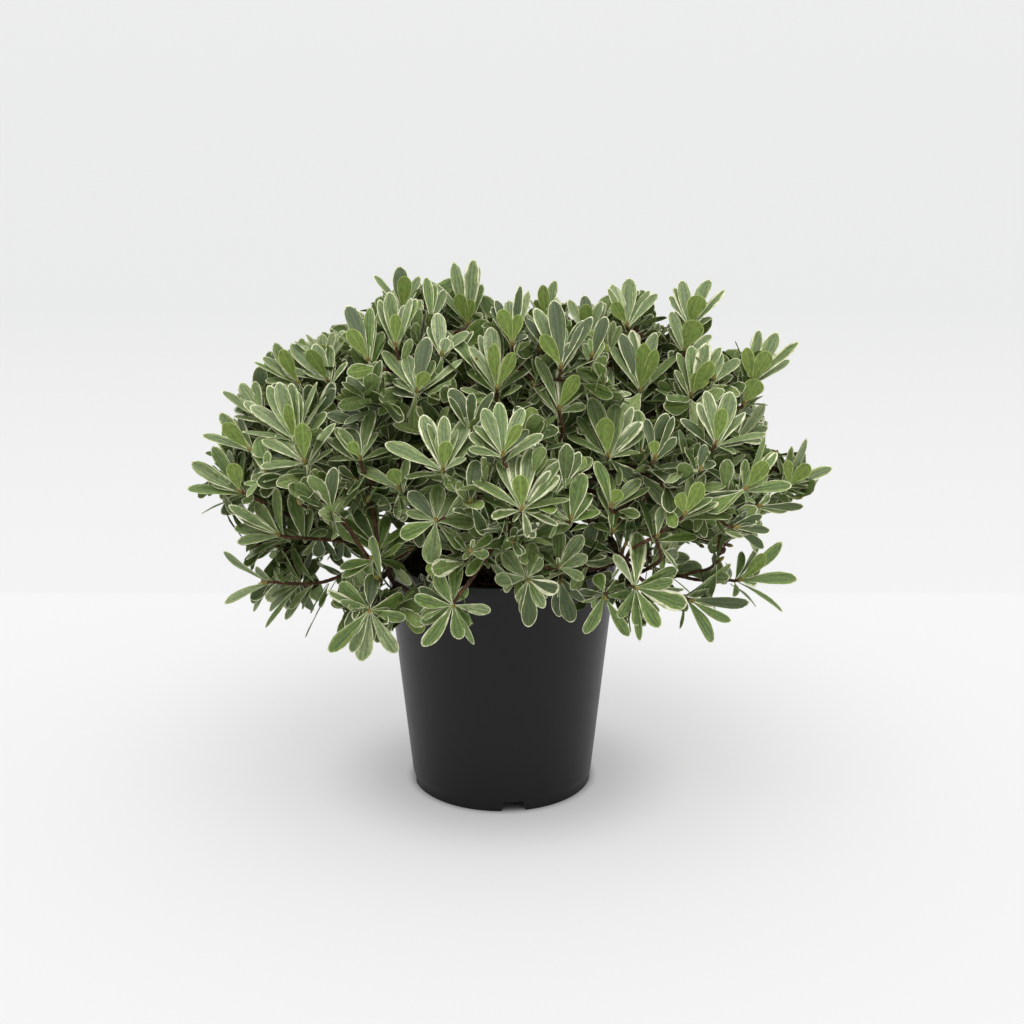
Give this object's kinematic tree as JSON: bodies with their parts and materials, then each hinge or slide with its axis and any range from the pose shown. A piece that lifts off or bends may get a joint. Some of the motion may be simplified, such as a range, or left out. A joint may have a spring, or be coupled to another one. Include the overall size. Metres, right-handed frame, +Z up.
{
  "type": "variegated pittosporum in a nursery pot",
  "caption": "Compact broad evergreen shrub with whorls of grey-green, cream-edged leaves on short woody boughs, standing in a black tapered nursery pot.",
  "frame": {"origin": "centre of the pot's underside, on the ground", "axes": "+Z up; -Y towards the front that the picture shows; +X to the plant's right side as the picture shows it"},
  "size_m": [0.6237, 0.5693, 0.5212],
  "materials": {
    "pot": "satin",
    "mix": "matte",
    "bark": "matte",
    "foliage": "matte",
    "leaf_margin": "matte",
    "leaf_underside": "matte",
    "young_leaf": "matte"
  },
  "bodies": {
    "root": {"pot": "pot", "potting_mix": "mix", "trunk": "bark", "bough_mid_left": "bark", "bough_mid_front": "bark", "bough_mid_right": "bark", "bough_mid_back": "bark", "bough_top_middle": "bark", "bough_skirt_left": "bark", "bough_skirt_left_back": "bark", "bough_mid_back_left": "bark", "bough_upper_left": "bark", "bough_skirt_front": "bark", "bough_skirt_front_left": "bark", "bough_mid_front_left": "bark", "bough_upper_front_left": "bark", "bough_skirt_right": "bark", "bough_skirt_front_right": "bark", "bough_mid_front_right": "bark", "bough_skirt_back_right": "bark", "bough_upper_right": "bark", "bough_skirt_back": "bark", "bough_skirt_back_left": "bark", "bough_mid_back_right": "bark", "bough_upper_back_right": "bark", "bough_upper_back_left": "bark", "bough_upper_front": "bark", "bough_top_left": "bark", "bough_top_right": "bark", "foliage_skirt_front": "foliage", "foliage_skirt_front_right": "foliage", "foliage_skirt_right": "foliage", "foliage_skirt_back_right": "foliage", "foliage_skirt_back": "foliage", "foliage_skirt_back_left": "foliage", "foliage_skirt_left_back": "foliage", "foliage_skirt_left": "foliage", "foliage_skirt_front_left": "foliage", "foliage_mid_left": "foliage", "foliage_mid_front_left": "foliage", "foliage_mid_front": "foliage", "foliage_mid_front_right": "foliage", "foliage_mid_right": "foliage", "foliage_mid_back_right": "foliage", "foliage_mid_back": "foliage", "foliage_mid_back_left": "foliage", "foliage_upper_left": "foliage", "foliage_upper_front_left": "foliage", "foliage_upper_front": "foliage", "foliage_upper_right": "foliage", "foliage_upper_back_right": "foliage", "foliage_upper_back_left": "foliage", "foliage_top_left": "foliage", "foliage_top_middle": "foliage", "foliage_top_right": "foliage"}
  },
  "joints": []
}
